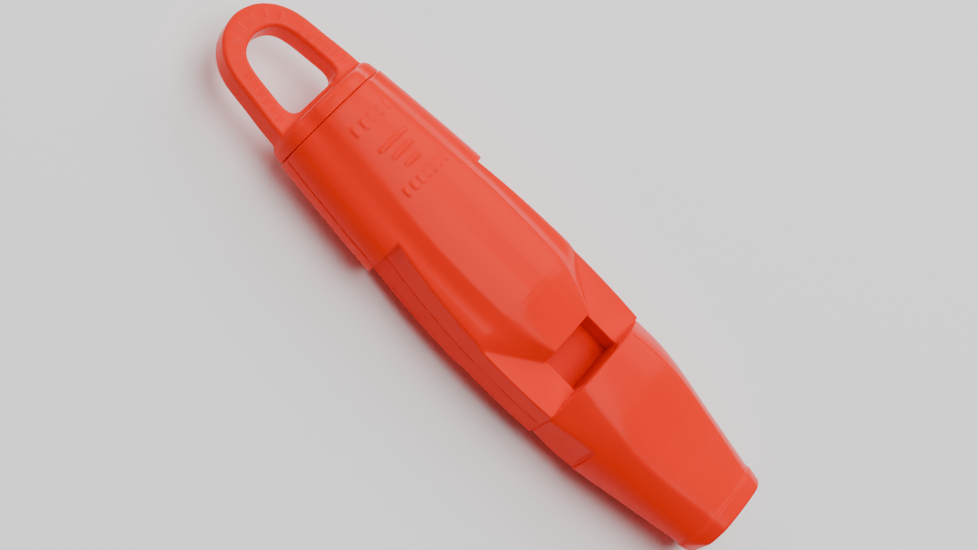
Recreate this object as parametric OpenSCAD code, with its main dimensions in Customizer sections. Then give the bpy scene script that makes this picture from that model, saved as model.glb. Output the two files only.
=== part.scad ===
// Slim two-tone training whistle, pealess, moulded in one colour.
// The cord loop points to -X and the mouthpiece to +X. The whistle lies flat: its underside strip
// is at Z = 0, and the upper and lower halves mirror each other about the plane Z = half_h.
// All lengths are in millimetres.

/* [Body] */
// Half of the overall thickness: crown of the deck above the parting plane
half_h = 6.4; // [5.5:0.1:7.5]
// Half width of the flat strip along the crown, which is also what it rests on
crown_half = 1.2; // [0.8:0.1:2]
// Height of the deck edge above the parting plane
deck_edge_z = 5.3; // [4.5:0.05:5.6]
// Height that the rounded shoulder would reach on the centre line
shoulder_h = 4.95; // [4.7:0.05:5.6]
// Start of the two shells, at the collar behind the loop cap
shell_x0 = -24.35; // [-26:0.05:-23]
// End of the flat deck, where the ramp starts to fall
deck_x1 = 5.3; // [3:0.1:7]

/* [Sound window] */
// Sounding edge of the ramp
lip_x = 11.95; // [11:0.05:13]
// Height of the sounding edge above the parting plane
lip_top = 4.65; // [4:0.05:5]
// Height of the shelf on both sides of the ramp
shelf_z = 2.9; // [2.4:0.1:3.4]
// Step where the mouthpiece begins
step_x = 16.6; // [15:0.1:18]
// Half width of the window and of the resonance chambers
bore_half = 4.05; // [3:0.05:4.5]
// Ceiling of the chambers above the parting plane
chamber_top = 4.3; // [3.6:0.1:4.6]

/* [Finger recess] */
// Radius of the long shallow recess in each side
recess_r = 100; // [60:5:160]
// Half width of the body at the middle of the recess
recess_y = 9.1; // [8.6:0.1:9.6]
// Middle of the recess along the whistle
recess_xc = 8.5; // [6:0.5:11]
// Recess end toward the loop
recess_x0 = -9.1; // [-12:0.1:-7]
// Recess end toward the mouth
recess_x1 = 23; // [20:0.5:25]

/* [Mouthpiece] */
// Mouth end of the whistle
mouth_x = 40; // [36:0.5:44]
// Half width of the windways
way_half = 3.4; // [2.8:0.1:3.8]
// Height of the windway slots where they reach the window
way_gap = 1; // [0.7:0.1:1.3]

/* [Loop] */
// Half thickness of the loop plate
loop_half = 1.63; // [1.2:0.05:2]
// Loop end of the whistle
loop_x = -40; // [-44:0.5:-38]
// Face of the loop cap that meets the shells
cap_x1 = -24.5; // [-26:0.05:-24.4]
// Face of the flange toward the loop
flange_x0 = -26.4; // [-28:0.1:-25.5]
// Depth of the spigot that holds the cap inside the shells
spigot_len = 4.5; // [3:0.5:6]

/* [Chambers] */
// Half thickness of the divider between the two chambers
divider_half = 0.6; // [0.4:0.1:1]
// Sounding face of the upper tuning plug
plug_up_x = -13; // [-15:0.5:-10]
// Sounding face of the lower tuning plug
plug_low_x = -16.5; // [-19:0.5:-14]

/* [Hidden] */
body_col = [0.93, 0.27, 0.14];
inner_col = [0.85, 0.2, 0.12];
plug_len = 2.5;
spigot_x1 = cap_x1 + spigot_len;
far = 30;

// Half width at the parting plane, and positions of the deck edge and of the shoulder line
shell_a = [[-24.4, 7.85], [-22.2, 8.13], [-19.9, 8.42], [-17.6, 8.68], [-14.2, 9.08], [-9.5, 9.55],
           [-3.7, 9.95], [3.3, 10.2], [8, 10.15], [12, 10.05], [16.6, 9.9]];
shell_y1 = [[-24.4, 3.7], [-22.7, 3.85], [-20, 4.05], [-15.4, 4.4], [-10.9, 4.85], [-5.8, 5.2],
            [0, 5.27], [5.3, 5.1], [16.6, 5.1]];
shell_y2 = [[-24.4, 5], [-22.7, 5.3], [-20, 5.85], [-15.4, 6.35], [-8.7, 6.6], [-5.8, 6.8],
            [0, 6.9], [16.6, 6.9]];
mouth_a = [[16.6, 9.4], [18.5, 9.35], [20.9, 9.15], [24.4, 8.55], [29, 7.75], [33.6, 7], [38.3, 6.2],
           [39.3, 5.6], [40, 4.95]];
mouth_b = [[16.6, 6.6], [24, 6.6], [28, 6], [31.5, 5.4], [37.2, 4.5], [40, 4.3]];
mouth_y1 = [[16.6, 4.8], [18, 5], [20, 5.35], [23.6, 5.7], [25.8, 5.75], [28, 5.5], [31.5, 5],
            [37.2, 3.9], [40, 3.5]];
mouth_z = [[16.6, half_h], [20, half_h], [22, 6.2], [23.6, 5.85], [25.8, 5.4], [28.1, 5],
           [31.5, 4.6], [37.2, 4.4], [39.6, 4.25], [40, 4]];

shell_xs = [shell_x0, -23.2, -21, -18, -15.4, -12, -9.1, -5.8, -2, 2, deck_x1, 9, 12, step_x];
mouth_xs = [step_x, 18, 20, 21.8, 23.6, 25.8, 28.1, 31.5, 34.5, 37.2, 38.3, 39.6, mouth_x];

// One side of a section, from the crown down to the parting plane, as [y, z]
function shell_side(x) =
    let (a = lookup(x, shell_a), y1 = lookup(x, shell_y1), y2 = lookup(x, shell_y2))
    [[crown_half, half_h],
     for (k = [0.55, 0.8, 1])
         [y1 * k, min(half_h, deck_edge_z + (half_h + 0.05 - deck_edge_z) * (1 - pow(k, 1.5)))],
     for (k = [0, 0.3, 0.55, 0.75, 0.9, 1])
         let (y = y2 + (a - y2) * k) [y, shoulder_h * pow(max(0, 1 - pow(y / a, 3)), 1 / 3)]];
function mouth_side(x) =
    let (a = lookup(x, mouth_a), b = lookup(x, mouth_b), y1 = lookup(x, mouth_y1),
         zt = lookup(x, mouth_z), z1 = zt - 0.18)
    [[crown_half, zt],
     for (k = [0.6, 1]) [y1 * k, z1 + 0.18 * (1 - k * k)],
     for (k = [0.12, 0.25, 0.4, 0.55, 0.7, 0.82, 0.91, 0.97, 1])
         let (y = y1 + (a - y1) * k)
         [y, min(z1 - 0.97 * (y - y1), b * pow(max(0, 1 - pow(y / a, 2.4)), 1 / 2.4))]];
// Close the side to a whole upper section, or to a section with both halves
function upper_ring(x, side) =
    concat([for (p = side) [x, p[0], p[1]]],
           [for (i = [len(side) - 1:-1:0]) [x, -side[i][0], side[i][1]]]);
function full_ring(x, side) = let (n = len(side) - 1)
    concat([for (p = side) [x, p[0], p[1]]],
           [for (i = [n - 1:-1:0]) [x, side[i][0], -side[i][1]]],
           [for (i = [0:n]) [x, -side[i][0], -side[i][1]]],
           [for (i = [n - 1:-1:0]) [x, -side[i][0], side[i][1]]]);

module loft(rings) {
    n = len(rings[0]);
    m = len(rings);
    polyhedron(points = [for (r = rings) each r],
        faces = concat([[for (i = [n - 1:-1:0]) i]],
            [for (j = [0:m - 2], i = [0:n - 1])
                let (a = j * n + i, b = j * n + (i + 1) % n) [a, b, a + n]],
            [for (j = [0:m - 2], i = [0:n - 1])
                let (a = j * n + i, b = j * n + (i + 1) % n) [b, b + n, a + n]],
            [[for (i = [0:n - 1]) (m - 1) * n + i]]));
}

// A profile drawn in X and Z, as wide as 2 * half across Y
module slab(half, pts) {
    translate([0, half, 0]) rotate([90, 0, 0]) linear_extrude(2 * half) polygon(pts);
}

// What the long side recess takes away from either half
module recess_cut() {
    for (s = [1, -1])
        difference() {
            translate([recess_x0, s > 0 ? 5 : -15, -far / 2])
                cube([recess_x1 - recess_x0, 10, far]);
            translate([recess_xc, s * (recess_y - recess_r), -far])
                cylinder(r = recess_r, h = 2 * far, $fn = 200);
        }
}

// The central wedge that falls from the deck to the sounding edge
module ramp() {
    b = [[deck_x1 - 3, shelf_z - 1.5], [lip_x, shelf_z - 1.5]];
    y0 = 9.4;
    polyhedron(
        points = [[deck_x1, -y0, b[0][1]], [deck_x1, y0, b[0][1]], [deck_x1, y0, 3], [deck_x1, 5.1, 5.3],
                  [deck_x1, 0, half_h + 0.4], [deck_x1, -5.1, 5.3], [deck_x1, -y0, 3],
                  [lip_x, -4.5, b[1][1]], [lip_x, 4.5, b[1][1]], [lip_x, 4.4, shelf_z], [lip_x, 3.4, lip_top],
                  [lip_x, 0, lip_top], [lip_x, -3.4, lip_top], [lip_x, -4.4, shelf_z]],
        faces = [[0, 1, 2, 3, 4, 5, 6], [13, 12, 11, 10, 9, 8, 7],
                 [0, 7, 1], [7, 8, 1], [1, 8, 2], [8, 9, 2], [2, 9, 3], [9, 10, 3], [3, 10, 4],
                 [10, 11, 4], [4, 11, 5], [11, 12, 5], [5, 12, 6], [12, 13, 6], [6, 13, 0], [13, 7, 0]]);
}

module half_shell() {
    difference() {
        loft([for (x = shell_xs) upper_ring(x, shell_side(x))]);
        recess_cut();
        // shelf beside the ramp
        difference() {
            translate([deck_x1, -15, shelf_z]) cube([step_x - deck_x1 + 1, 30, 10]);
            ramp();
        }
        // resonance chamber, open toward the loop cap, with a thin roof under the ramp
        slab(bore_half, [[shell_x0 - 1, -1], [step_x + 1, -1], [step_x + 1, shelf_z + 0.5],
                         [lip_x, shelf_z + 0.5], [lip_x, shelf_z + 0.1], [deck_x1 + 2, chamber_top],
                         [shell_x0 - 1, chamber_top]]);
    }
}

module upper_shell() {
    color(body_col) translate([0, 0, half_h]) half_shell();
}

module lower_shell() {
    color(body_col) translate([0, 0, half_h]) mirror([0, 0, 1]) half_shell();
}

module chamber_divider() {
    color(inner_col) translate([spigot_x1, -bore_half, half_h - divider_half])
        cube([step_x - spigot_x1, 2 * bore_half, 2 * divider_half]);
}

module mouthpiece() {
    way_top = lip_top;
    color(body_col) translate([0, 0, half_h]) difference() {
        loft([for (x = mouth_xs) full_ring(x, mouth_side(x))]);
        recess_cut();
        slab(way_half, [[step_x - 1, -way_top], [step_x, -way_top], [28, -3.7], [mouth_x + 1, -2.9],
                        [mouth_x + 1, 2.9], [28, 3.7], [step_x, way_top], [step_x - 1, way_top]]);
    }
}

// Core that leaves one thin windway above it and one below it
module windway_core() {
    w = lip_top - way_gap;
    color(inner_col) translate([0, 0, half_h])
        slab(way_half, [[step_x, -w], [28, -w + 0.8], [mouth_x - 1.5, -1.7], [mouth_x - 0.8, -1.3],
                        [mouth_x - 0.8, 1.3], [mouth_x - 1.5, 1.7], [28, w - 0.8], [step_x, w]]);
}

// Outline of the flat cord loop and of its opening, drawn from the flange outward
loop_out = [[flange_x0 + 0.5, 7.1], [-27.6, 7], [-29.1, 6.83], [-31.3, 6.5], [-33.6, 6.2], [-34.8, 6],
            [-35.8, 5.72], [-36.9, 5.2], [-38, 4.4], [-39.1, 3.1], [-39.75, 1.6], [loop_x, 0]];
loop_in = [[flange_x0 - 0.3, 3.2], [-27, 3.9], [-27.7, 4.25], [-28.6, 4.33], [-31, 4.05], [-33, 3.8],
           [-34.6, 3.45], [-35.7, 2.8], [-36.5, 1.7], [-36.85, 0]];
function both(p) = concat(p, [for (i = [len(p) - 1:-1:0]) [p[i][0], -p[i][1]]]);

module loop_end_cap() {
    side = shell_side(shell_x0);
    function inset(k) = [for (p = side) [p[0] * k, p[1] * k]];
    color(body_col) translate([0, 0, half_h]) {
        difference() {
            union() {
                loft([full_ring(flange_x0, inset(0.93)), full_ring(flange_x0 + 0.5, inset(0.975)),
                      full_ring(cap_x1, inset(0.985))]);
                translate([0, 0, -loop_half]) linear_extrude(2 * loop_half) polygon(both(loop_out));
            }
            translate([0, 0, -5]) linear_extrude(10) polygon(both(loop_in));
        }
        // spigot inside the shells
        translate([cap_x1 - 0.5, -bore_half, -chamber_top])
            cube([spigot_len + 0.5, 2 * bore_half, 2 * chamber_top]);
    }
}

module upper_tuning_plug() {
    color(inner_col) translate([plug_up_x - plug_len, -bore_half, half_h + divider_half])
        cube([plug_len, 2 * bore_half, chamber_top - divider_half]);
}

module lower_tuning_plug() {
    color(inner_col) translate([plug_low_x - plug_len, -bore_half, half_h - chamber_top])
        cube([plug_len, 2 * bore_half, chamber_top - divider_half]);
}

upper_shell();
lower_shell();
chamber_divider();
mouthpiece();
windway_core();
loop_end_cap();
upper_tuning_plug();
lower_tuning_plug();
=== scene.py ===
import bmesh
import bpy
import numpy as np
from mathutils import Matrix, Vector


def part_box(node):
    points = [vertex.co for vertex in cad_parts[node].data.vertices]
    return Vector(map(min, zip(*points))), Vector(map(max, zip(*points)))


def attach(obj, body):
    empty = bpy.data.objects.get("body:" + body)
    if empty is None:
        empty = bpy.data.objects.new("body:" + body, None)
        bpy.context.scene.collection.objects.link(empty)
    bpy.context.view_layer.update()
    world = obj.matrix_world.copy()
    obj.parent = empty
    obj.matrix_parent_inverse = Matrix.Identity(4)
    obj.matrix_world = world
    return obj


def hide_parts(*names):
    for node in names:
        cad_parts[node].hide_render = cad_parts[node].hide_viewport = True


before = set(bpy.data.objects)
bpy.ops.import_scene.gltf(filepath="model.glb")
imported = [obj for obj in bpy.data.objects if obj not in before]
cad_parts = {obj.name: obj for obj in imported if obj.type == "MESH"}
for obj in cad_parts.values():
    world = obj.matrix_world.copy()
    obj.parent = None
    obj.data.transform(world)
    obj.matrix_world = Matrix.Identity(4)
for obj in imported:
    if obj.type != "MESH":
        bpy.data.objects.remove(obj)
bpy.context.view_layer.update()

MM = 0.001


# ---------------------------------------------------------------- where the CAD pieces are, in mm
def box_mm(node):
    low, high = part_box(node)
    return np.array(low) / MM, np.array(high) / MM


SHELL_LOW, SHELL_HIGH = box_mm("upper_shell")
DIV_LOW, DIV_HIGH = box_mm("chamber_divider")
CORE_LOW, CORE_HIGH = box_mm("windway_core")
MID_Z = float(SHELL_LOW[2])                 # parting plane
HALF_H = float(SHELL_HIGH[2]) - MID_Z       # crown above it
SHELL_X0, STEP_X = float(SHELL_LOW[0]), float(SHELL_HIGH[0])
MOUTH_X = float(box_mm("mouthpiece")[1][0])
LOOP_X = float(box_mm("loop_end_cap")[0][0])
BORE = float(DIV_HIGH[1])                   # half width of the window and chambers
WAY = float(CORE_HIGH[1])                   # half width of the windways

# ---------------------------------------------------------------- sections along the whistle, as (x, value)
TABLE_SAMPLES, TABLE_SMOOTH = 600, 1.6
SECTIONS = {
    # shells: half width at the parting plane, half width of the deck, and where the shoulder starts
    "width": [(-27, 7.3), (-24.4, 7.85), (-22.2, 8.13), (-19.9, 8.42), (-17.6, 8.68), (-14.2, 9.08),
              (-9.5, 9.52), (-3.7, 9.9), (3.3, 10.1), (8, 10.1), (12, 10.0), (16.6, 9.9), (20, 9.8)],
    "deck": [(-27, 3.5), (-24.4, 3.7), (-22.7, 3.85), (-20, 4.05), (-15.4, 4.4), (-10.9, 4.85),
             (-5.8, 5.2), (0, 5.27), (5.3, 5.1), (20, 5.1)],
    "shoulder": [(-27, 4.6), (-24.4, 5.0), (-22.7, 5.3), (-20, 5.85), (-15.4, 6.35), (-8.7, 6.6),
                 (-5.8, 6.8), (0, 6.9), (20, 6.9)],
    # mouthpiece: half width and half height of its rounded side, half width and height of its deck
    "mouth_width": [(15, 9.4), (16.6, 9.4), (18.5, 9.35), (20.9, 9.15), (24.4, 8.55), (29, 7.75),
                    (33.6, 7.0), (38.3, 6.2), (39.5, 5.95), (41, 5.7)],
    "mouth_height": [(15, 6.6), (24, 6.6), (28, 6.0), (31.5, 5.4), (37.2, 4.5), (41, 4.3)],
    "mouth_deck": [(15, 4.7), (16.6, 4.8), (18, 5.0), (20, 5.35), (23.6, 5.7), (25.8, 5.75), (28, 5.5),
                   (31.5, 5.0), (37.2, 3.9), (41, 3.4)],
    "mouth_crown": [(15, 6.4), (16.6, 6.4), (20, 6.38), (22, 6.2), (23.6, 5.85), (25.8, 5.4), (28.1, 5.0),
                    (31.5, 4.6), (37.2, 4.3), (41, 4.1)],
}

# Rounding of the moulded edges, from the softest to the sharpest
R_RIM, R_END, R_EDGE, R_FACET, R_FINE, R_SHARP = 0.3, 0.25, 0.22, 0.2, 0.12, 0.04

# Deck of the shells: its edge, how far the arch overshoots the flat crown, and the arch's power
DECK_EDGE, DECK_OVER, DECK_ARCH = 5.5, 0.05, 2.0
DECK_GROW = 0.15                            # the deck's edge loses about this much to its rounding
DECK_SCALE = 0.96                           # allows for the arch's slope, to keep its field a distance
SHOULDER, SHELL_OVAL, SHOULDER_LAP = 4.95, 3.0, 0.3

# Ramp, sounding edge, shelf and window. The ramp's field stands RAMP_LIFT above the deck and rises
# by RAMP_RISE behind it, so that the deck itself is left alone, and cuts from RAMP_REACH before its end.
DECK_END, LIP_X, LIP_TOP, LIP_HALF, LIP_FOOT, SHELF = 5.3, 11.95, 4.65, 3.4, 4.4, 2.9
RAMP_FOOT_X, RAMP_FOOT_Y, RAMP_EDGE_Y = 6.03, 8.9, 6.3
RAMP_LIFT, RAMP_RISE, RAMP_REACH = 0.015, 4.0, 3.0
CHAMBER_TOP, LIP_ROOF, OPEN_SKY = 4.3, 3.1, 30.0    # ceiling in the chamber, under the lip, in the window

# Finger recess, and the seam at the parting plane
RECESS_R, RECESS_Y, RECESS_XC, RECESS_X0, RECESS_X1 = 100.0, 9.1, 8.5, -9.1, 23.0
SEAM_DEPTH, SEAM_WIDTH = 0.05, 0.13
SHELL_LAP, HALF_LAP = 0.06, 0.03            # pieces run into each other, so that no light shows through

# Mouthpiece
MOUTH_OVAL, FACET_DROP, FACET_SLOPE, R_MOUTH = 2.4, 0.18, 0.97, 0.8
CORNER_Y, CORNER_SLOPE = 5.25, 1.35
RIM_X, RIM_H, RIM_START, RIM_RUN = 37.95, 0.17, 0.12, 0.25
ROOF_X, ROOF_Z = 28.0, (4.4, 3.7, 2.9)

# Cord loop and its cap
LOOP_HALF, FLANGE_X0, CAP_FACE, SPIGOT_X1 = 1.63, -26.4, -24.41, -20.0
FLANGE_INSET, FLANGE_TAPER, R_PLATE, R_FLANGE, R_ROOT = 0.12, 0.14, 0.55, 1.0, 0.35
SPIGOT_GAP, SPIGOT_LAP = 0.02, 0.4
LOOP_OUT = [(-25.6, 7.15), (-27.6, 7.0), (-29.1, 6.83), (-31.3, 6.5), (-33.6, 6.2), (-34.8, 6.0),
            (-35.8, 5.72), (-36.9, 5.2), (-38, 4.4), (-39.1, 3.1), (-39.75, 1.6), (-40, 0)]
LOOP_IN = [(-27.1, 3.0), (-27.4, 3.7), (-28.0, 4.1), (-29.0, 4.2), (-31, 3.98), (-33, 3.72),
           (-34.6, 3.35), (-35.7, 2.75), (-36.45, 1.65), (-36.8, 0)]


def smooth_table(table):
    """Dense samples of a table, with its corners rounded by a short weighted average."""
    points = np.array(table, float)
    xs = np.linspace(points[0, 0], points[-1, 0], TABLE_SAMPLES)
    ys = np.interp(xs, points[:, 0], points[:, 1])
    width = max(3, int(TABLE_SMOOTH / (xs[1] - xs[0]))) | 1
    kernel = np.hanning(width + 2)[1:-1]
    kernel /= kernel.sum()
    padded = np.pad(ys, width // 2, mode="reflect", reflect_type="odd")
    return xs, np.convolve(padded, kernel, mode="valid")


TABLES = {name: smooth_table(table) for name, table in SECTIONS.items()}


def at(name, x):
    return np.interp(x, *TABLES[name])


# ---------------------------------------------------------------- fields: negative inside, about a distance
def smax(a, b, k):
    """Larger of two fields, with their meeting edge rounded over a width k."""
    h = np.clip(0.5 + 0.5 * (a - b) / k, 0, 1)
    return b + (a - b) * h + k * h * (1 - h)


def smin(a, b, k):
    return -smax(-a, -b, k)


def unit(f, x, y, z, e=0.02):
    """Scale a field by its gradient so that it measures distance near its surface."""
    v = f(x, y, z)
    gx, gy, gz = f(x + e, y, z) - v, f(x, y + e, z) - v, f(x, y, z + e) - v
    return v / (np.sqrt(gx * gx + gy * gy + gz * gz) / e + 1e-6)


def oval(half_w, half_h, n):
    """Superellipse whose half width and half height depend on x."""
    def f(x, y, z):
        return (np.abs(y / half_w(x)) ** n + np.abs(z / half_h(x)) ** n) ** (1.0 / n) - 1.0
    return f


def rounded_bar(x, y, half_x, half_y, radius):
    """Flat distance to a bar with rounded corners."""
    qx, qy = np.abs(x) - half_x, np.abs(y) - half_y
    return np.hypot(np.maximum(qx, 0), np.maximum(qy, 0)) + np.minimum(np.maximum(qx, qy), 0) - radius


def deck_z(x, y):
    """Height of the arched deck."""
    side = at("deck", x) + DECK_GROW
    arch = DECK_EDGE + (HALF_H + DECK_OVER - DECK_EDGE) * (1 - np.maximum(y / side, 0) ** DECK_ARCH)
    return np.minimum(arch, HALF_H)


def body_section(x, y, z):
    """Deck, sloping wall and rounded shoulder of one half of the body."""
    y1, y2, a = at("deck", x) + DECK_GROW, at("shoulder", x), at("width", x)
    z2 = SHOULDER * np.maximum(1 - (y2 / a) ** SHELL_OVAL, 0.01) ** (1 / SHELL_OVAL)
    deck = (z - deck_z(x, y)) * DECK_SCALE
    dy, dz = y2 - y1, z2 - DECK_EDGE
    wall = ((z - DECK_EDGE) * dy - (y - y1) * dz) / np.hypot(dy, dz)
    top = smax(smax(deck, wall, 0.08), y - y2 - SHOULDER_LAP, 0.1)
    side = unit(oval(lambda q: at("width", q), lambda q: SHOULDER + 0 * q, SHELL_OVAL), x, y, z)
    return smin(top, side, R_EDGE)


def recess(x, y):
    """What the long shallow recess takes away from each side."""
    wall = RECESS_Y - RECESS_R + np.sqrt(np.maximum(RECESS_R ** 2 - (x - RECESS_XC) ** 2, 1))
    return np.maximum(np.maximum(wall - y, RECESS_X0 - x), x - RECESS_X1)


def ramp_side(x, y, z):
    """Twisted facet beside the ramp, from its foot on the shelf up to the ramp's edge."""
    back = (LIP_X - x) / (LIP_X - RAMP_FOOT_X)
    foot = LIP_FOOT + back * (RAMP_FOOT_Y - LIP_FOOT)
    edge = LIP_HALF + back * (RAMP_EDGE_Y - LIP_HALF)
    dy, dz = foot - edge, LIP_TOP - SHELF
    return ((y - foot) * dz + (z - SHELF) * dy) / np.hypot(dy, dz)


def deck_marks():
    """Plain bars on the deck, as (x, y, half length, half width): two short rows and three long bars."""
    marks = []
    for x, count, pitch, length in ((-21.0, 5, 1.35, 0.5), (-12.4, 7, 1.1, 0.42)):
        marks += [(x, (i - (count - 1) / 2) * pitch, length, 0.13) for i in range(count)]
    return marks + [(-17.6 + 1.5 * i, 0.0, 0.12, 2.2 - 0.55 * i) for i in range(3)]


MARK_H, MARK_FOOT, MARK_RISE = 0.11, 4.0, 0.5       # the marks are only above MARK_FOOT
MARKS = deck_marks()


def raised(distance, width):
    """From 0 off a mark to 1 on it, over a short slope."""
    return np.clip(0.5 - distance / width, 0, 1)


def bars(x, y):
    distances = [rounded_bar(x - cx, y - cy, half_x, half_y, 0.12) for cx, cy, half_x, half_y in MARKS]
    return raised(np.minimum.reduce(distances), 0.22)


def half_shell(x, y, z, marks=1.0):
    """Upper half of the body, above the parting plane."""
    y = np.abs(y)
    body = body_section(x, y, z)
    body = body - MARK_H * marks * bars(x, y) * np.clip((z - MARK_FOOT) / MARK_RISE, 0, 1)
    body = smax(body, SHELL_X0 - x, R_END)
    body = smax(body, -recess(x, y), R_EDGE)
    # the ramp keeps the deck's section but sinks toward the lip
    end = np.full_like(x, DECK_END)
    u = (x - DECK_END) / (LIP_X - DECK_END)
    fall = u * (deck_z(end, np.minimum(y, LIP_HALF)) - LIP_TOP)
    fall = smax(fall, np.zeros_like(fall), 0.06) - RAMP_LIFT - RAMP_RISE * np.maximum(-u, 0)
    ramp = smax(smax(body_section(end, y, z + fall), ramp_side(x, y, z), R_FACET), x - LIP_X, R_FINE)
    cut = smin(ramp, z - SHELF, R_EDGE)
    body = np.where(x > DECK_END - RAMP_REACH, smax(body, cut, R_FACET), body)
    ceiling = np.interp(x, [SHELL_X0, DECK_END + 2, LIP_X - 0.1, LIP_X],
                        [CHAMBER_TOP, CHAMBER_TOP, LIP_ROOF, OPEN_SKY])
    bore = np.maximum(y - BORE, np.maximum(z - ceiling, SHELL_X0 + 1 - x))
    body = smax(body, -bore, R_FINE)
    body = smax(body, x - STEP_X - SHELL_LAP, R_SHARP)
    body = body + SEAM_DEPTH * np.exp(-(z / SEAM_WIDTH) ** 2) * (x < RECESS_X0 + 0.1)
    return smax(body, -HALF_LAP - z, R_SHARP)


def plain_half_shell(x, y, z):
    """The same half without marks, for the underside that the whistle rests on."""
    return half_shell(x, y, z, marks=0.0)


def mouth(x, y, z):
    """Mouthpiece, whole, with its bore."""
    y, z = np.abs(y), np.abs(z)
    crown, y1 = at("mouth_crown", x), at("mouth_deck", x)
    z1 = crown - FACET_DROP
    arch = np.minimum(z1 + (FACET_DROP + 0.02) * (1 - (y / y1) ** 2), crown)
    facet = ((y - y1) * FACET_SLOPE + (z - z1)) / np.hypot(1, FACET_SLOPE)
    side = unit(oval(lambda q: at("mouth_width", q), lambda q: at("mouth_height", q), MOUTH_OVAL), x, y, z)
    rim = RIM_H * np.clip((x - RIM_X + RIM_START) / RIM_RUN, 0, 1)
    body = smax(smax(z - arch, facet, R_EDGE), side, R_MOUTH) - rim
    body = smax(body, -recess(x, y), R_EDGE)
    body = smax(body, STEP_X - x, R_RIM)
    corner = ((x - MOUTH_X) + (y - CORNER_Y) * CORNER_SLOPE) / np.hypot(1, CORNER_SLOPE)
    body = smax(smax(body, corner, R_END), x - MOUTH_X + 0.05, R_RIM)
    roof = np.interp(x, [STEP_X, ROOF_X, MOUTH_X + 1], ROOF_Z)
    return smax(body, -np.maximum(y - WAY, z - roof), R_EDGE)


def spline(points, per=8):
    """Closed smooth outline through the points and their mirror image across Y = 0."""
    p = np.array(points, float)
    p = np.vstack([2 * p[0] - p[1], p, p[-2] * [1, -1]])
    out = []
    for i in range(1, len(p) - 2):
        for t in np.linspace(0, 1, per, endpoint=False):
            out.append(0.5 * (2 * p[i] + (p[i + 1] - p[i - 1]) * t
                       + (2 * p[i - 1] - 5 * p[i] + 4 * p[i + 1] - p[i + 2]) * t ** 2
                       + (3 * p[i] - p[i - 1] - 3 * p[i + 1] + p[i + 2]) * t ** 3))
    out = np.array(out + [p[-2]])
    return np.vstack([out, out[-2::-1] * [1, -1]])


OUTLINE, OPENING = spline(LOOP_OUT), spline(LOOP_IN)


def polygon_distance(loop, x, y):
    """Flat distance to a closed outline, negative inside it."""
    shape = np.broadcast(x, y).shape
    px, py = np.broadcast_to(x, shape).ravel(), np.broadcast_to(y, shape).ravel()
    best = np.full(px.shape, 1e9)
    inside = np.zeros(px.shape, bool)
    for (ax, ay), (bx, by) in zip(loop, np.roll(loop, -1, axis=0)):
        ex, ey = bx - ax, by - ay
        t = np.clip(((px - ax) * ex + (py - ay) * ey) / (ex * ex + ey * ey + 1e-12), 0, 1)
        best = np.minimum(best, (px - ax - t * ex) ** 2 + (py - ay - t * ey) ** 2)
        with np.errstate(divide="ignore", invalid="ignore"):
            inside ^= ((ay > py) != (by > py)) & (px < ex * (py - ay) / ey + ax)
    return (np.sqrt(best) * np.where(inside, -1, 1)).reshape(shape)


# Plain bars on the loop, as (x, y, turn): six on each leg, then six around the bend. Both faces have them.
LOOP_MARK_H = 0.09
LOOP_MARKS = [(-27.9 - 1.15 * i, side * (5.62 - 0.2 * i), np.pi / 2) for i in range(6) for side in (1, -1)]
LOOP_MARKS += [(-34.2 - 4.2 * np.cos(t), 4.3 * np.sin(t), -t) for t in np.radians(np.arange(-60, 61, 24))]


def loop_bars(x, y):
    distances = []
    for cx, cy, turn in LOOP_MARKS:
        c, s = np.cos(turn), np.sin(turn)
        u, w = (x - cx) * c + (y - cy) * s, (y - cy) * c - (x - cx) * s
        distances.append(rounded_bar(u, w, 0.5, 0.1, 0.1))
    return raised(np.minimum.reduce(distances), 0.2)


def loop_cap(x, y, z):
    """Flat cord loop, the flange behind it and the spigot inside the shells."""
    ay, az = np.abs(y), np.abs(z)
    # the plan doesn't depend on z, so one layer of a grid serves them all
    plan_x, plan_y = (x[:, :, :1], y[:, :, :1]) if x.ndim == 3 else (x, y)
    plan = np.maximum(polygon_distance(OUTLINE, plan_x, plan_y), -polygon_distance(OPENING, plan_x, plan_y))
    plate = smax(plan + 0 * z, az - LOOP_HALF - LOOP_MARK_H * loop_bars(plan_x, plan_y), R_PLATE)
    flange = body_section(np.full_like(x, SHELL_X0), ay, az) + FLANGE_INSET + FLANGE_TAPER * (SHELL_X0 - x)
    flange = smax(flange, FLANGE_X0 - x, R_FLANGE)
    body = smax(smin(plate, flange, R_ROOT), x - CAP_FACE, R_FACET)
    spigot = np.maximum(np.maximum(ay - BORE, az - CHAMBER_TOP) + SPIGOT_GAP,
                        np.maximum(CAP_FACE - SPIGOT_LAP - x, x - SPIGOT_X1))
    return np.minimum(body, spigot)


# ---------------------------------------------------------------- meshes
def crossings(f):
    """Which grid cells the surface passes through, and the mean place of its edge crossings in each."""
    cells = tuple(n - 1 for n in f.shape)
    total, count = np.zeros(cells + (3,)), np.zeros(cells)
    for corner in np.ndindex(2, 2, 2):
        for axis in range(3):
            if corner[axis]:
                continue
            other = [c + (axis == m) for m, c in enumerate(corner)]
            fa, fb = (f[tuple(slice(o, n + o) for o, n in zip(q, cells))] for q in (corner, other))
            hit = (fa < 0) != (fb < 0)
            t = np.where(hit, fa / np.where(hit, fa - fb, 1), 0)
            for m in range(3):
                total[..., m] += np.where(hit, corner[m] + (t if m == axis else 0), 0)
            count += hit
    active = count > 0
    return active, total[active] / count[active][:, None]


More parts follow.
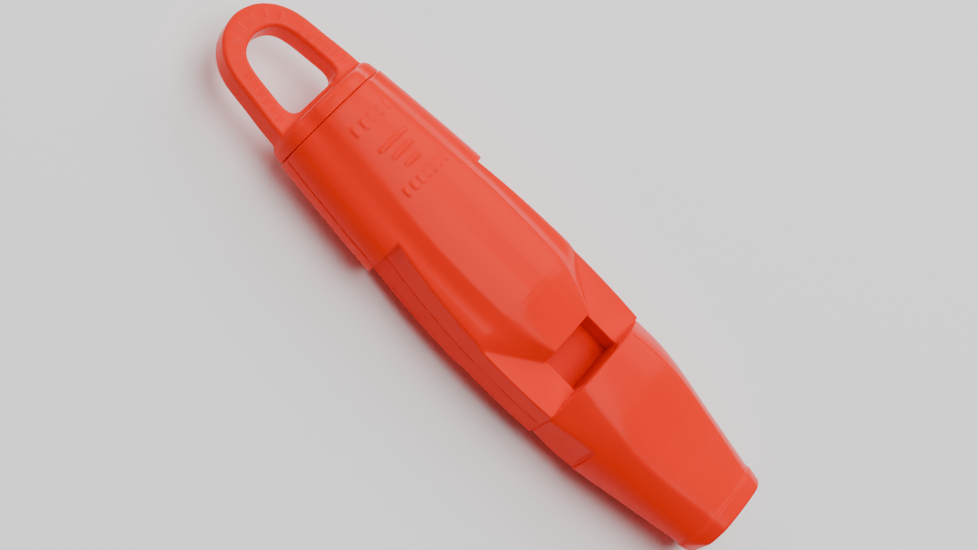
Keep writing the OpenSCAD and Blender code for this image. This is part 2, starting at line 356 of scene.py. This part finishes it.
def quads(inside, index):
    """One quad across each grid edge that crosses the surface, facing outward."""
    faces = []
    for axis, (o1, o2) in enumerate(((1, 2), (2, 0), (0, 1))):
        a = inside[tuple(slice(0, -1) if m == axis else slice(1, -1) for m in range(3))]
        b = inside[tuple(slice(1, None) if m == axis else slice(1, -1) for m in range(3))]
        for hit, flip in ((a & ~b, False), (~a & b, True)):
            start = np.argwhere(hit)
            start[:, [o1, o2]] += 1
            quad = []
            for d1, d2 in ((0, 0), (-1, 0), (-1, -1), (0, -1)):
                q = start.copy()
                q[:, o1] += d1
                q[:, o2] += d2
                quad.append(index[tuple(q.T)])
            faces.append(np.stack(quad[::-1] if flip else quad, 1))
    return np.concatenate(faces)


def settle(field, verts, cell, e=0.01):
    """Pull the points onto the field's surface in a few short steps."""
    for _ in range(3):
        x, y, z = verts.T
        v = field(x, y, z)
        g = np.stack([field(x + e, y, z) - v, field(x, y + e, z) - v, field(x, y, z + e) - v], 1) / e
        move = -v[:, None] * g / (np.sum(g * g, 1) + 1e-3)[:, None]
        size = np.linalg.norm(move, axis=1, keepdims=True)
        verts = verts + move * np.minimum(1, 0.3 * cell / (size + 1e-9)) * 0.8
    return verts


def extract(field, low, high, cell):
    """Closed quad mesh of field = 0 by surface nets. The field is worked out in slices to save memory."""
    axes = [np.arange(a - 2 * cell, b + 3 * cell, cell) for a, b in zip(low, high)]
    grid = np.meshgrid(*axes, indexing="ij")
    f = np.concatenate([field(*(g[i:i + 40] for g in grid)) for i in range(0, len(axes[0]), 40)])
    active, offset = crossings(f)
    index = np.full(active.shape, -1)
    index[active] = np.arange(active.sum())
    verts = (np.argwhere(active) + offset) * cell + [a[0] for a in axes]
    return settle(field, verts, cell), quads(f < 0, index)


def add(name, mesh, material, node):
    """Link a finished mesh as the piece that stands for one CAD node."""
    mesh.shade_smooth()
    mesh.materials.append(material)
    obj = bpy.data.objects.new(name, mesh)
    bpy.context.collection.objects.link(obj)
    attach(obj, "root")
    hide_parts(node)


def moulded(name, node, field, low, high, cell, flip_z=False):
    """A piece of the outer skin, from its field between two corners. flip_z turns it upside down."""
    verts, faces = extract(field, low, high, cell)
    if flip_z:
        verts[:, 2] *= -1
        faces = faces[:, ::-1]
    verts[:, 2] += MID_Z
    mesh = bpy.data.meshes.new(name)
    mesh.from_pydata((verts * MM).tolist(), [], faces.tolist())
    mesh.update()
    add(name, mesh, SHELL_MAT, node)


def insert(name, node, profile, half, radius):
    """A piece inside the whistle: a profile in X and Z, extruded across Y, with rounded edges."""
    n = len(profile)
    verts = [(x * MM, side * half * MM, z * MM) for side in (-1, 1) for x, z in profile]
    faces = [tuple(range(n)), tuple(range(2 * n - 1, n - 1, -1))]
    faces += [(i, i + n, (i + 1) % n + n, (i + 1) % n) for i in range(n)]
    mesh = bpy.data.meshes.new(name)
    mesh.from_pydata(verts, [], faces)
    mesh.update()
    bm = bmesh.new()
    bm.from_mesh(mesh)
    bmesh.ops.recalc_face_normals(bm, faces=bm.faces)
    bmesh.ops.bevel(bm, geom=bm.edges[:], offset=radius * MM, segments=3, profile=0.5, affect="EDGES")
    bm.to_mesh(mesh)
    bm.free()
    # the pieces inside get the darker copy of the plastic, which is painted shade
    add(name, mesh, PAINTED_SHADE_INNER_MAT, node)


def box_profile(low, high):
    return [(low[0], low[2]), (high[0], low[2]), (high[0], high[2]), (low[0], high[2])]


def core_profile():
    """Wedge that tapers from the window to a blunt nose at the mouth, the same above and below."""
    half, nose = float(CORE_HIGH[2]) - MID_Z, CORE_HIGH[0]
    upper = [(nose, 1.3), (nose - 0.7, 1.7), (ROOF_X, half - 0.8), (CORE_LOW[0], half)]
    lower = [(x, -z) for x, z in reversed(upper)]
    return [(x, MID_Z + z) for x, z in lower + upper]


# ---------------------------------------------------------------- materials
def noise(nodes, links, scale, detail):
    """Noise fixed to the object, in features per metre."""
    coords = nodes.new("ShaderNodeTexCoord")
    tex = nodes.new("ShaderNodeTexNoise")
    tex.inputs["Scale"].default_value = scale
    tex.inputs["Detail"].default_value = detail
    links.new(coords.outputs["Object"], tex.inputs["Vector"])
    return tex


def spread(nodes, links, tex, low, high):
    """Map a noise from 0..1 to a range."""
    level = nodes.new("ShaderNodeMapRange")
    level.inputs["To Min"].default_value = low
    level.inputs["To Max"].default_value = high
    links.new(tex.outputs["Fac"], level.inputs["Value"])
    return level.outputs["Result"]


def plastic(name, colour, deep, rough):
    """Glossy moulded plastic: soft cloudy colour, fine uneven gloss and a faint skin texture."""
    material = bpy.data.materials.new(name)
    material.use_nodes = True
    nodes, links = material.node_tree.nodes, material.node_tree.links
    bsdf = nodes["Principled BSDF"]
    blotch = noise(nodes, links, 90, 3)
    speck = noise(nodes, links, 2600, 4)
    mix = nodes.new("ShaderNodeMix")
    mix.data_type = "RGBA"
    mix.inputs["A"].default_value = colour
    mix.inputs["B"].default_value = deep
    links.new(spread(nodes, links, blotch, 0.0, 0.22), mix.inputs["Factor"])
    links.new(mix.outputs["Result"], bsdf.inputs["Base Color"])
    links.new(spread(nodes, links, speck, rough - 0.05, rough + 0.06), bsdf.inputs["Roughness"])
    bump = nodes.new("ShaderNodeBump")
    bump.inputs["Strength"].default_value = 0.12
    bump.inputs["Distance"].default_value = 0.00004
    links.new(speck.outputs["Fac"], bump.inputs["Height"])
    links.new(bump.outputs["Normal"], bsdf.inputs["Normal"])
    bsdf.inputs["IOR"].default_value = 1.46
    bsdf.inputs["Specular IOR Level"].default_value = 0.07
    bsdf.inputs["Subsurface Weight"].default_value = 0.05
    bsdf.inputs["Subsurface Radius"].default_value = (1.0, 0.25, 0.12)
    bsdf.inputs["Subsurface Scale"].default_value = 0.0009
    return material


def paper():
    """Plain matt white for the floor."""
    material = bpy.data.materials.new("paper")
    material.use_nodes = True
    bsdf = material.node_tree.nodes["Principled BSDF"]
    bsdf.inputs["Base Color"].default_value = (0.97, 0.97, 0.97, 1)
    bsdf.inputs["Roughness"].default_value = 0.8
    bsdf.inputs["Specular IOR Level"].default_value = 0.11
    return material


SHELL_MAT = plastic("moulded_orange", (0.98, 0.012, 0.001, 1), (0.90, 0.008, 0.001, 1), 0.22)
# The pieces inside use a darker copy of the shell's plastic: painted shade for the hollows they sit in.
PAINTED_SHADE_INNER_MAT = plastic("moulded_orange_inner_painted_shade", (0.72, 0.006, 0.001, 1), (0.62, 0.005, 0.001, 1), 0.4)

# ---------------------------------------------------------------- pieces
CELL = 0.16
SHELL_CORNERS = (SHELL_X0, -10.2, 0), (STEP_X, 10.2, HALF_H + 0.2)
MOUTH_CORNERS = (STEP_X, -9.8, -HALF_H), (MOUTH_X, 9.8, HALF_H)
CAP_CORNERS = (LOOP_X, -8.0, -HALF_H), (SPIGOT_X1, 8.0, HALF_H)
moulded("shell_upper", "upper_shell", half_shell, *SHELL_CORNERS, CELL)
moulded("shell_lower", "lower_shell", plain_half_shell, *SHELL_CORNERS, CELL, flip_z=True)
moulded("mouthpiece_sleeve", "mouthpiece", mouth, *MOUTH_CORNERS, 0.95 * CELL)
moulded("loop_cap", "loop_end_cap", loop_cap, *CAP_CORNERS, CELL)

insert("divider_plate", "chamber_divider", box_profile(DIV_LOW, DIV_HIGH), BORE, 0.06)
insert("windway_core_block", "windway_core", core_profile(), WAY, 0.12)
for half in ("upper", "lower"):
    plug_low, plug_high = box_mm(half + "_tuning_plug")
    insert("plug_" + half, half + "_tuning_plug", box_profile(plug_low, plug_high), float(plug_high[1]), 0.1)

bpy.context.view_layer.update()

# ---------------------------------------------------------------- floor, lights and camera, in metres
bpy.ops.mesh.primitive_plane_add(size=4.0, location=(0, 0, -0.0001))
floor = bpy.context.object
floor.name = "floor"
floor.data.materials.append(paper())


def softbox(name, position, size_x, size_y, watts):
    """White area light that faces the middle of the whistle."""
    light = bpy.data.lights.new(name, "AREA")
    light.shape = "RECTANGLE"
    light.size, light.size_y, light.energy = size_x, size_y, watts
    obj = bpy.data.objects.new(name, light)
    obj.location = position
    obj.rotation_euler = (Vector((0, 0, MID_Z * MM)) - Vector(position)).to_track_quat("-Z", "Y").to_euler()
    bpy.context.collection.objects.link(obj)


softbox("softbox_over", (0.05, 0.05, 0.55), 0.5, 0.34, 3.3)
softbox("softbox_far", (-0.04, 0.52, 0.42), 0.55, 0.4, 2.4)
softbox("fill_loop", (-0.5, 0.05, 0.25), 0.3, 0.3, 1.0)

world = bpy.data.worlds.new("studio")
bpy.context.scene.world = world
world.use_nodes = True
world.node_tree.nodes["Background"].inputs["Color"].default_value = (1, 1, 1, 1)
world.node_tree.nodes["Background"].inputs["Strength"].default_value = 0.08

# The camera looks from the -Y side, well above the whistle, and is rolled so that +X runs down to
# the right. Its distance and target are in millimetres, the target from the parting plane.
CAM_BACK = Vector((-0.07492, -0.51186, 0.85580)).normalized()
CAM_DISTANCE, CAM_TARGET, CAM_LENS = 233.035, Vector((0.932, 0.273, 0.0)), 75.4
RUN_RIGHT, RUN_DOWN = 0.7030, 0.7112        # direction of +X on the screen


def place_camera():
    x_axis = Vector((1, 0, 0))
    along = (x_axis - x_axis.dot(CAM_BACK) * CAM_BACK).normalized()
    across = CAM_BACK.cross(along)
    right = RUN_RIGHT * along + RUN_DOWN * across
    up = RUN_RIGHT * across - RUN_DOWN * along
    position = (CAM_TARGET + CAM_DISTANCE * CAM_BACK + Vector((0, 0, MID_Z))) * MM
    camera = bpy.data.objects.new("camera", bpy.data.cameras.new("camera"))
    camera.data.lens = CAM_LENS
    camera.data.sensor_width = 36.0
    camera.data.clip_start = 0.01
    turn = Matrix((right, up, CAM_BACK)).transposed().to_4x4()
    camera.matrix_world = Matrix.Translation(position) @ turn
    bpy.context.collection.objects.link(camera)
    bpy.context.scene.camera = camera


place_camera()
